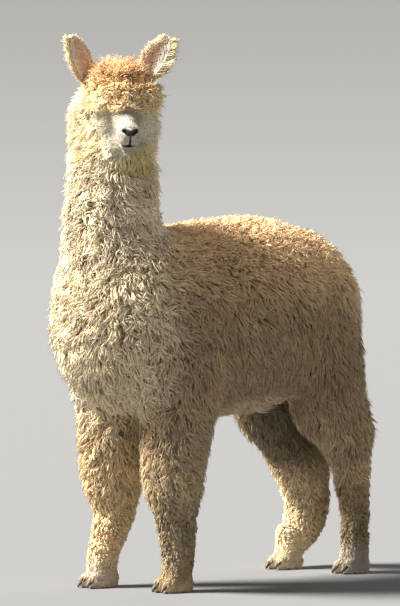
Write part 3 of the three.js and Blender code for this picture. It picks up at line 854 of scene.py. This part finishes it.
def skin_colors(p, n):
    """The bare skin's colour, much as the wool over it, and how moist or bare it is."""
    r = regions(p, n)
    m = mirrored(r["h"])
    mx, my, mz = m.T
    face = r["head"]
    drop = -10 - mz  # how far below the top of the nose pad, which dips in the middle
    dip = 5 * (1 - minimum(mx / 13, 1)) ** 1.5
    side = where(drop < 4, 17.5, 17.5 - 1.0 * (drop - 4))
    pad = fall(-1.5, 1.5, mx - side) * ramp(-1.5, 2, drop - dip) * fall(-176, -168, my) * fall(19, 23, drop)
    split = fall(2.2, 4.4, mx) * fall(-182, -178, my) * ramp(18, 22, drop)
    # the band of painted shade along the mouth line, fading at the corners and on the head's left side
    lips = fall(3.4, 5.8, abs(mz - mouth_height(my))) * fall(-136, -126, my)
    front = 1 - 0.75 * maximum(ramp(13, 19, mx), ramp(3, 10, r["h"][:, 0]))
    q = m - EYE_AT
    up, fore = q @ EYE_UP, q @ EYE_FORE
    lid = fall(1.6, 4.0, hypot(maximum(abs(up) - 9 * (1 - (fore / 19) ** 2), 0),
                               maximum(abs(fore) - 16, 0)))
    layers = [  # colour, share, how moist or bare
        (NOSE_DARK, pad * face, 1.0),
        # painted shade inside the nostrils
        (DEEP_PAINTED_SHADE, fall(0, 1.6, NOSTRIL(m) - 1) * face, 1.0),
        # painted shade in the fold between the nose and the cheek
        (DEEP_PAINTED_SHADE * 3, 0.8 * fall(0, 3, SNOUT_FOLD(m) - 1) * face, 0.0),
        # painted shade in the mouth line and in the groove of the upper lip
        (DEEP_PAINTED_SHADE, maximum(split * (mz > -58), lips * front) * face, 0.6),
        (LID_DARK, lid * (norm(q) < 34) * face, 0.3),
        (LEG_DARK * 0.5, fall(2, 5, p[:, 2]), 0.3),
    ]
    bare = zeros(len(p))
    for _, share, moist in layers:
        bare = mix(bare, moist, share)
    # under the wool the skin is painted lighter than the wool, as painted light that softens the shade in
    # the gaps between the locks; on the cheeks it is a touch darker
    c = minimum(markings(p, r) * mix(0.97, 1.15, 1 - r["cheek"])[:, None], 0.95)
    return layered(c, [layer[:2] for layer in layers]), bare


tone, bare = skin_colors(skin_points, skin_normals)
shells, tones = [(skin_points, skin_quads)], [tone]
for ear in EARS:
    *shell, tone = ear_shell(ear)
    shells.append(shell)
    tones.append(tone)
skin = new_object("skin", *merged(shells))
tones = concatenate(tones)
paint(skin, tones, np.append(bare, zeros(len(tones) - len(bare))))
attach(skin, "root")
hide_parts(*[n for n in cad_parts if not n.startswith(("eye", "nail"))])

# ---- the wool
rng = np.random.default_rng(7)
skin_tris = concatenate([skin_quads[:, [0, 1, 2]], skin_quads[:, [0, 2, 3]]])
THIN = 1.0


def wool_spacing(column):
    """How far apart tufts or locks are, and 0 on the eyes, the nose, the lips and the soles."""
    def spacing(p, n):
        r = regions(p, n)
        total = mix(style_of(r)[:, column], 2.3, r["muzzle"])
        total = mix(total, total * 1.25, r["belly"])
        m = mirrored(r["h"])
        mx, my, mz = m.T
        q = m - EYE_AT
        eye = (hypot(q @ EYE_UP * 1.6, q @ EYE_FORE) < 14) & (norm(q) < 34)
        nose = (my < -170) & (mz > -33) & (mz < -10) & (mx < 21 + 1.1 * (mz + 14))
        nose |= NOSTRIL(m) < 3.5
        lips = (my < -130) & (abs(mz - mouth_height(my)) < 5)
        lips |= (my < -176) & (mx < 4) & (abs(mz + 42) < 16)
        sole = (p[:, 2] < 4) & (n[:, 2] < -0.5)
        for leg in LEGS:
            ahead = leg["foot_y"] - 42 - p[:, 1]
            beside = abs(abs(p[:, 0] - leg["x"]) - TOE_OUT)
            sole |= (ahead > 0) & (ahead < 60) & (beside < 8) & (p[:, 2] < 22)
        return where((r["head"] > 0.5) & (eye | nose | lips) | sole, 0, total * THIN)

    return spacing


def vary(by, count, most=2.0):
    """Numbers about 1, one for each tuft or lock."""
    return 1 + by * rng.normal(size=count).clip(-2, most)


def swung(lie, facing, lean):
    return lie * cos(lean)[:, None] + cross(facing, lie) * sin(lean)[:, None]


roots, facing = scatter(rng, skin_points, skin_tris, skin_normals, wool_spacing(TUFT_SPACING))
locks, lock_facing = scatter(rng, skin_points, skin_tris, skin_normals, wool_spacing(LOCK_SPACING))
tufts_n, locks_n = len(roots), len(locks)
tree = kdtree.KDTree(locks_n)
for i, at in enumerate(locks):
    tree.insert(at, i)
tree.balance()
home = array([tree.find(at)[1] for at in roots])

here, there = regions(roots, facing), regions(locks, lock_facing)
lean = style_of(there)[:, 4] * (0.7 * rng.normal(size=locks_n) + 0.9 * noise(locks, 70, 12))
lock_lie = swung(lie_of(locks, lock_facing, there), lock_facing, lean)
lock_phase = rng.random(locks_n) * 2 * np.pi
lock_long = vary(0.13, locks_n, 1.5)
lock_tint = vary(0.09, locks_n)

lift, tip_lift, crimp, wave, lean, width, pull, *_ = style_of(here).T
lie = lock_lie[home]
h, head, crown, cheek, peak = (here[name] for name in ("h", "head", "crown", "cheek", "peak"))
# the fringe hangs over the right eye
over_eye = h - EYE_AT * [-1, 1, 1]
brow = (norm(over_eye) < 44) & (over_eye[:, 2] > 6) & (abs(over_eye[:, 1]) < 26)
brow &= rng.random(tufts_n) < 0.8
lift[brow], tip_lift[brow] = 46, -6
lie[brow] = HEAD_AXES @ array([-0.3, -0.1, -1.0])
lie = swung(square_to(facing, lie), facing, 0.35 * lean * rng.normal(size=tufts_n).clip(-2, 2))
# how far from its root a tuft of length 1 rises over the skin
rise = (cos(np.radians(tip_lift)) - cos(np.radians(lift))) / np.radians(lift - tip_lift)
REACH = 0.85  # of the coat's depth; the longest locks come out to its full outline
length = REACH * coat_depth(roots, h) / rise
length = mix(length, 1.1 * length, maximum(head * (1 - cheek), crown))
length = mix(length, 1.1 * TOPKNOT_DEPTH / rise, peak)
fringe = crown * fall(-50, 5, h[:, 1]) * fall(60, 90, h[:, 2])
sideways = abs(h[:, 0])
length = mix(length, 31 - 15 * ramp(20, 40, sideways) + 22 * ramp(41, 53, sideways), fringe * (1 - peak))
length = mix(mix(length, 10, cheek), 5.5, here["muzzle"])
length = mix(length, length * 1.12, maximum(here["chest"], here["neck"] * (1 - head)))
length = where(brow, 31.0, length)
length = length * lock_long[home] * vary(0.08, tufts_n)
wave = wave * (1 + 0.1 * rng.normal(size=tufts_n))
phase = lock_phase[home] + 0.5 * rng.normal(size=tufts_n)
wisp = (rng.random(tufts_n) < 0.3) & (cheek < 0.5)  # thin and loose, past the locks
width = width * (1 + 0.2 * rng.normal(size=tufts_n)).clip(0.5, 1.6) * THIN ** 0.8
under = ~wisp & (rng.random(tufts_n) < 0.36) & (maximum(cheek, here["foot"]) < 0.3)  # broad and short
width = mix(where(wisp, width * 0.5, where(under, width * 1.8, width)), 1.5, here["muzzle"])
length = where(wisp, length * 1.1, where(under, length * 0.8, length))
pull = (locks[home] - roots) * where(wisp | under, 0, pull)[:, None]
tint = lock_tint[home] * vary(0.05, tufts_n)
base = markings(roots, here)
tip_color = base * tint[:, None] * 1.06
root_color = base * mix(1.04, 0.98, cheek)[:, None] * array([1.0, 0.97, 0.93])
tufts = (roots, facing, lie, length, lift, tip_lift, crimp, wave, phase, width, pull, root_color, tip_color)


# ---- the pieces of the coat
def star(at, axis):
    """A flat map of a form about a point, as seen along an axis: round it and away from it."""
    way = unit(at)
    off = np.arccos(np.clip(way @ axis, -1, 1)) / np.pi
    side = unit(cross(axis, [0.3, 0.5, 0.81]))
    a = np.arctan2(way @ side, way @ cross(axis, side))
    return stack([off * cos(a), off * sin(a)], -1)


def wound(x, y, along):
    """A flat map of a long form: round it and along it."""
    return stack([np.arctan2(x, y), along], -1)


def wound_on(axis, forward, scale, p):
    cx, cy, _, _ = axis(p[:, 2])
    return wound(p[:, 0] - cx, forward * (p[:, 1] - cy), p[:, 2] / scale)


def face_chart(p):
    x, y, z = to_head(p).T
    reach, a = y + 200 + 0.5 * hypot(x, z + 30), np.arctan2(x, z + 30)
    return stack([reach * cos(a), reach * sin(a)], -1)


CHARTS = {
    "crown": lambda p: star(to_head(p) - [0, 0, 20], (0, 0, 1)),
    "face": face_chart,
    "neck": partial(wound_on, neck_axis, -1, 100),
    "chest": lambda p: star(p - [0, -240, 640], (0, -1, 0)),
    "rump": lambda p: star(p - [0, 200, 640], (0, 1, 0)),
    "tail": lambda p: wound(p[:, 0], p[:, 1] - 350, p[:, 2] / 60),
    "barrel": lambda p: wound(p[:, 0], p[:, 2] - 670, p[:, 1] / 120),
}
x, y, z = roots.T
on_legs = {}
for leg in LEGS:
    CHARTS[leg["name"]] = partial(wound_on, leg["axis"], 1, 60)
    end = (y < -100) if leg["end"] == "fore" else (y > 60)
    on_legs[leg["name"]] = (z < 400) & (x * leg["side"] > 0) & end & (here["belly"] < 0.5)
body, upper = ~np.any(list(on_legs.values()), axis=0), here["neck"] > 0.5
PIECES = [  # name, slot, chart, nodes of a tuft, and where, on the roots that the rows above leave
    ("topknot", "topknot_wool", "crown", 6, crown > 0.5),
    ("face", "face_hair", "face", 4, cheek > 0.5),
    ("tail", "fleece_fawn", "tail", 5, here["tail"] > 0.5),
    ("ruff", "fleece_cream", "neck", 4, upper & (z > 1050)),
    ("neck_left", "fleece_cream", "neck", 5, upper & (x > neck_axis(z)[0])),
    ("neck_right", "fleece_cream", "neck", 5, upper),
    ("chest_left", "fleece_cream", "chest", 4, body & (y < -230) & (x > 0)),
    ("chest_right", "fleece_cream", "chest", 4, body & (y < -230)),
    ("rump_left", "fleece_fawn", "rump", 4, body & (y > 170) & (x > 0)),
    ("rump_right", "fleece_fawn", "rump", 4, body & (y > 170)),
    ("back", "fleece_fawn", "barrel", 5, body & (z > 800)),
    ("flank_left", "fleece_fawn", "barrel", 4, body & (x > 0)),
    ("flank_right", "fleece_fawn", "barrel", 4, body),
    *[(name, "leg_wool", name, 4, place) for name, place in on_legs.items()],
]
UV_EDGE, UV_SPAN, PATCH = 0.02, 0.955, 0.003  # of the map: its border, its width, a tuft
coats = []


def add_coat(name, slot, chart, made):
    """One piece of the coat, with its OFBake map: each tuft is a small patch at its root's place."""
    points, tris, colors, patch = made
    low, high = chart.min(0), chart.max(0)
    at = UV_EDGE + UV_SPAN * (chart - low) / (high - low)
    uv = at[:, None] + (patch - 0.5) * PATCH
    tris = tris.reshape(-1, 3)
    coat = new_object(name, points.reshape(-1, 3), tris)
    paint(coat, colors.reshape(-1, 3))
    layer = coat.data.uv_layers.new(name="OFBake")
    layer.data.foreach_set("uv", uv.reshape(-1, 2)[tris.ravel()].astype(np.float32).ravel())
    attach(coat, "root")
    coats.append(coat)


free = np.ones(tufts_n, bool)
for name, slot, chart, nodes, place in PIECES:
    k = free & place
    free &= ~place
    made = strands(nodes, *(each[k] for each in tufts))
    add_coat("coat_" + name, slot, CHARTS[chart](roots[k]), made)


# ---- hair of the ears
def ear_hair(ear, salt, wisps, inner_edge):
    """Short wool on the back of an ear, fuzz inside it and a long fringe along its rim."""
    rng = np.random.default_rng(salt)
    place = ear_frame(**ear)
    count = 1350
    fringe = rng.random(count) < 0.5
    along = rng.random(count) ** 0.9 * 0.94 + 0.04  # clear of the root and the tip
    inside = ~fringe & (rng.random(count) < 0.34)

    def pick(rim, inner, back):
        """The value of each hair, by where it grows."""
        return where(fringe, rim, where(inside, inner, back))

    across, edge_at = rng.random(count) * 2 - 1, 0.97
    side = sign(across)
    across = where(fringe, side * (1 - 0.3 * rng.random(count) ** 2), across * edge_at)
    across = where(inside, side * (inner_edge + (edge_at - inner_edge) * rng.random(count)), across)
    thick = where(inside, -1.8, 1.8) * np.sqrt(1 - across ** 2 * 0.99)
    step = 0.01
    p = place(ear_points(along, across, thick))
    ahead = unit(place(ear_points(along + step, across, thick)) - p)
    aside = unit(place(ear_points(along, across + step, thick)) - p)
    n = unit(cross(aside, ahead))
    outer = place(ear_points(along, across, thick + 1.0)) - p
    n = n * sign((n * outer).sum(1, keepdims=True)) * where(inside, -1, 1)[:, None]
    edge = aside * side[:, None]
    outer_side = across * sign(ear["root"][0]) > 0
    sideways = unit(place(array([[1.0, 0, 0]])) - place(zeros((1, 3)))) * side[:, None]
    on_rim, in_cup = fringe[:, None], inside[:, None]
    way = where(on_rim, sideways + ahead * 0.8 + array([0, 0, -1.0]) * 0.1, ahead + 0.25 * edge)
    way = where(in_cup, -edge * 0.7 + ahead * 0.6, way)
    way = unit(way + 0.18 * rng.normal(size=(count, 3)))
    n, t = where(on_rim, square_to(way, n), n), where(on_rim, way, square_to(n, way))
    wisps = where(outer_side, wisps, wisps * 0.6)
    wisps = wisps * (0.7 + 0.5 * rng.random(count)) * ramp(0.05 * outer_side, 0.4, along)
    length = where(fringe, wisps, 13.0) * (1 - 0.3 * along ** 3)
    length = where(inside, where(outer_side, 19.0, 14.0), length)
    length = length * (1 + 0.15 * rng.normal(size=count))
    warm = maximum(fall(0.15, 0.5, along), 0.55 * ~outer_side * fall(0.6, 0.9, along))
    tone = mix(EAR_BACK, GINGER, warm[:, None]) * (1 + 0.09 * rng.normal(size=(count, 1)))
    # the hair at the cup's outer edge takes the rim colour with each ear's painted light
    tone = where(in_cup & outer_side[:, None], EAR_RIM_PAINTED_LIGHT * ear["rim"], tone)
    # the hair roots inside the cup take the pink skin with its painted glow
    root = where(in_cup & ~outer_side[:, None], EAR_INSIDE_AND_GLOW, tone * 0.85)
    same = np.ones(count)
    made = strands(5, p, n, t, length, pick(12.0, 20.0, 34.0), pick(-14.0, 3.0, 8.0), same * 0.8, same * 14,
                   rng.random(count) * 6.28, pick(2.3, 3.0 * 0.6, 3.0) * THIN ** 0.8, zeros((count, 3)),
                   root, tone)
    return stack([across * 0.45 + where(thick < 0, 1.1, 0), along], -1), made


for ear, side, *settings in zip(EARS, ("left", "right"), (20, 21), (30, 25), (0.2, 0.5)):
    add_coat("coat_ear_" + side, "ear_hair", *ear_hair(ear, *settings))


# ---- eyes and nails
def eyeball(side):
    """A globe with a clear bulge in front, its poles on the eye's axis: points, faces, colours."""
    rings, around, size = 24, 36, EYE_RADIUS - 0.8
    axis, up = EYE_OUT * [side, 1, 1], EYE_UP * [side, 1, 1]
    fore = cross(axis, up)
    a = angles(around)
    off = np.linspace(0, np.pi, rings + 2)[1:-1]
    radius = size * (1 + 0.05 * fall(0, 0.75, off))
    ring = cos(a)[None, :, None] * up + sin(a)[None, :, None] * fore
    ring = (cos(off) * radius)[:, None, None] * axis + (sin(off) * radius)[:, None, None] * ring
    points = concatenate([ring.reshape(-1, 3), [axis * size * 1.05, -axis * size]])
    off = off[:, None]
    x, z = (np.append(part * sin(off), [0, 0]) for part in (sin(a), cos(a)))
    off = np.append(np.broadcast_to(off, (rings, around)), [0, np.pi])
    iris = fall(0.60, 0.66, off)
    colors = layered(np.tile(srgb(150, 128, 108), (len(points), 1)), [
        (srgb(52, 32, 20), iris),
        (srgb(10, 8, 8), iris * fall(0.85, 1.1, hypot(x / 0.42, z / 0.2))),  # a bar-shaped pupil
        (srgb(38, 26, 20), ramp(0.5, 0.6, off) * fall(0.62, 0.7, off)),
    ])
    quads, caps = (faces[:, ::side] for faces in rolled(rings, around))
    return from_head(points + EYE_AT * [side, 1, 1]), quads, caps, colors


eyes = []
for side, name in ((1, "left"), (-1, "right")):
    *shell, tone = eyeball(side)
    eye = new_object("eyeball_" + name, *shell)
    paint(eye, tone)
    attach(eye, "root")
    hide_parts("eye_" + name)
    eyes.append(eye)


def claw(x, foot_y, out):
    """A curved horn nail at the front of a toe, from under the hair down to the floor."""
    rings, around = 9, 14
    t = np.linspace(0, 1, rings)
    path = stack([0 * t + x + out * TOE_OUT, foot_y - 38 - 23 * sin(t * 1.5),
                  20.5 - 18.5 * t ** 1.5], -1)
    ahead = unit(np.gradient(path, axis=0))
    across = square_to(ahead, array([1, 0, 0]))
    half = (8.6 * (1 - 0.74 * t ** 1.6))[:, None]
    wide, deep = half * cos(angles(around)), half * 0.8 * sin(angles(around))
    ring = path[:, None] + across[:, None] * wide[..., None]
    ring = ring + cross(ahead, across)[:, None] * deep[..., None]
    points = concatenate([ring.reshape(-1, 3), path[:1], path[-1:]])
    points[:, 2] = maximum(points[:, 2], FLOOR_GAP)
    return points, *rolled(rings, around)


claws = [claw(leg["x"], leg["foot_y"], out) for leg in LEGS for out in (1, -1)]
nails = new_object("nails", *merged(claws))
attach(nails, "root")
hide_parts(*[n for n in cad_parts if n.startswith("nail")])


# ---- materials
def node_tree(made):
    """The nodes and links of a material or a world."""
    made.use_nodes = True
    return made.node_tree.nodes, made.node_tree.links


def sockets(node, **values):
    """A node with numbers set on its inputs, named with _ for each space."""
    for name, value in values.items():
        node.inputs[name.replace("_", " ")].default_value = value
    return node


def two_tones(nodes, places, tones):
    made = nodes.new("ShaderNodeValToRGB")
    for n in (0, 1):
        stop = made.color_ramp.elements[n]
        stop.position, stop.color = places[n], (*tones[n], 1)
    return made


def material(name, grain_scale, bump=0.0, painted=True, **values):
    """Principled colour from the painted attribute, broken up by fine noise, with a bump."""
    made = bpy.data.materials.new(name)
    nodes, links = node_tree(made)
    shader = sockets(nodes["Principled BSDF"], Sheen_Roughness=0.45, **values)
    grain = sockets(nodes.new("ShaderNodeTexNoise"), Scale=grain_scale, Detail=3.0)
    links.new(nodes.new("ShaderNodeTexCoord").outputs["Object"], grain.inputs["Vector"])
    color = nodes.new("ShaderNodeAttribute") if painted else None
    if painted:
        color.attribute_name = "Col"
        span = sockets(nodes.new("ShaderNodeMapRange"), To_Min=0.8, To_Max=1.2)
        links.new(grain.outputs["Fac"], span.inputs["Value"])
        tone = nodes.new("ShaderNodeVectorMath")
        tone.operation = "SCALE"
        links.new(color.outputs["Color"], tone.inputs[0])
        links.new(span.outputs["Result"], tone.inputs["Scale"])
        links.new(tone.outputs["Vector"], shader.inputs["Base Color"])
    if bump:
        relief = sockets(nodes.new("ShaderNodeBump"), Strength=bump, Distance=0.001)
        links.new(grain.outputs["Fac"], relief.inputs["Height"])
        links.new(relief.outputs["Normal"], shader.inputs["Normal"])
    return made, nodes, links, shader, color


wool, *_ = material("wool", 420, 0.35, Roughness=0.85, Sheen_Weight=0.35, Specular_IOR_Level=0.15)
for coat in coats:
    coat.data.materials.append(wool)

hide, nodes, links, shader, color = material("hide", 620, 0.4, Roughness=0.8, Sheen_Weight=0.15,
                                             Specular_IOR_Level=0.25)
gloss = sockets(nodes.new("ShaderNodeMapRange"), To_Min=0.85, To_Max=0.42)
links.new(color.outputs["Alpha"], gloss.inputs["Value"])
links.new(gloss.outputs["Result"], shader.inputs["Roughness"])
skin.data.materials.append(hide)

cornea, *_ = material("eye", 300, Roughness=0.08, Specular_IOR_Level=0.6, Coat_Weight=1.0,
                      Coat_Roughness=0.03)
for eye in eyes:
    eye.data.materials.append(cornea)

horn, nodes, links, shader, _ = material("horn", 240, 0.25, painted=False, Roughness=0.5,
                                         Specular_IOR_Level=0.4)
streaks = sockets(nodes.new("ShaderNodeTexNoise"), Scale=130)
stretch = sockets(nodes.new("ShaderNodeMapping"), Scale=(1.0, 1.0, 0.25))
links.new(nodes.new("ShaderNodeTexCoord").outputs["Object"], stretch.inputs["Vector"])
links.new(stretch.outputs["Vector"], streaks.inputs["Vector"])
tones = two_tones(nodes, (0.35, 0.7), (srgb(58, 48, 40), srgb(120, 104, 86)))
links.new(streaks.outputs["Fac"], tones.inputs["Fac"])
links.new(tones.outputs["Color"], shader.inputs["Base Color"])
nails.data.materials.append(horn)


# ---- camera, floor and light
F_PIXELS, WIDTH_PIXELS = 2962.5, 400
AZIMUTH, ELEVATION, DISTANCE = math.radians(45), math.radians(1), 7.5
AIM = (-29.2, 20.2)  # the picture's middle, right of and above the target, in pixels
TARGET_HEIGHT, LAMP_DISTANCE, FLOOR_SIZE = 0.65, 5, 400  # metres
target = array([0, 0, TARGET_HEIGHT]) + SHIFT / MM
back = array([math.sin(AZIMUTH) * math.cos(ELEVATION), -math.cos(AZIMUTH) * math.cos(ELEVATION),
              math.sin(ELEVATION)])
right = unit(cross(-back, [0, 0, 1]))
above = cross(right, -back)
look = unit(-back + (AIM[0] * right + AIM[1] * above) / F_PIXELS)
cam = placed("camera", bpy.data.cameras.new("camera"))
cam.data.sensor_fit = "HORIZONTAL"
cam.data.lens = cam.data.sensor_width * F_PIXELS / WIDTH_PIXELS
cam.data.clip_end = 300
cam.location = target + DISTANCE * back
cam.rotation_euler = Vector(look).to_track_quat("-Z", "Y").to_euler()
bpy.context.scene.camera = cam


def soft_light(name, toward, spread, power, color):
    """A far, wide studio lamp. toward is right, above and back, as the camera sees them."""
    lamp = bpy.data.lights.new(name, "SUN")
    lamp.angle, lamp.energy, lamp.color = math.radians(spread), power, color
    made = placed(name, lamp)
    way = unit(array(toward[0]) * right + toward[1] * above + toward[2] * back)
    made.location = target + LAMP_DISTANCE * way
    made.rotation_euler = Vector(-way).to_track_quat("-Z", "Y").to_euler()


soft_light("key", (-0.71, 0.70, 0.06), 18, 12.5, (1.0, 0.97, 0.92))
soft_light("fill", (0.5, 0.3, 0.9), 60, 0.2, (1.0, 0.99, 0.97))
soft_light("rim", (0.6, 0.6, -0.9), 30, 0.6, (1.0, 0.97, 0.9))
world = bpy.data.worlds.new("studio")
nodes, links = node_tree(world)
sky = sockets(nodes["Background"], Strength=0.8)
way_up = nodes.new("ShaderNodeSeparateXYZ")
links.new(nodes.new("ShaderNodeTexCoord").outputs["Generated"], way_up.inputs["Vector"])
# the tone of the far floor at the skyline, darker above
wash = two_tones(nodes, (0.0, 0.22), ((0.806, 0.789, 0.755), (0.24, 0.238, 0.235)))
links.new(way_up.outputs["Z"], wash.inputs["Fac"])
links.new(wash.outputs["Color"], sky.inputs["Color"])
bpy.context.scene.world = world
bpy.context.scene.view_settings.view_transform = "Standard"

bpy.ops.mesh.primitive_plane_add(size=FLOOR_SIZE, location=(0, 0, 0))
floor = bpy.context.object
floor.name = "floor"
ground = bpy.data.materials.new("floor")
nodes, _ = node_tree(ground)
sockets(nodes["Principled BSDF"], Base_Color=(0.184, 0.186, 0.189, 1), Roughness=0.9)
floor.data.materials.append(ground)
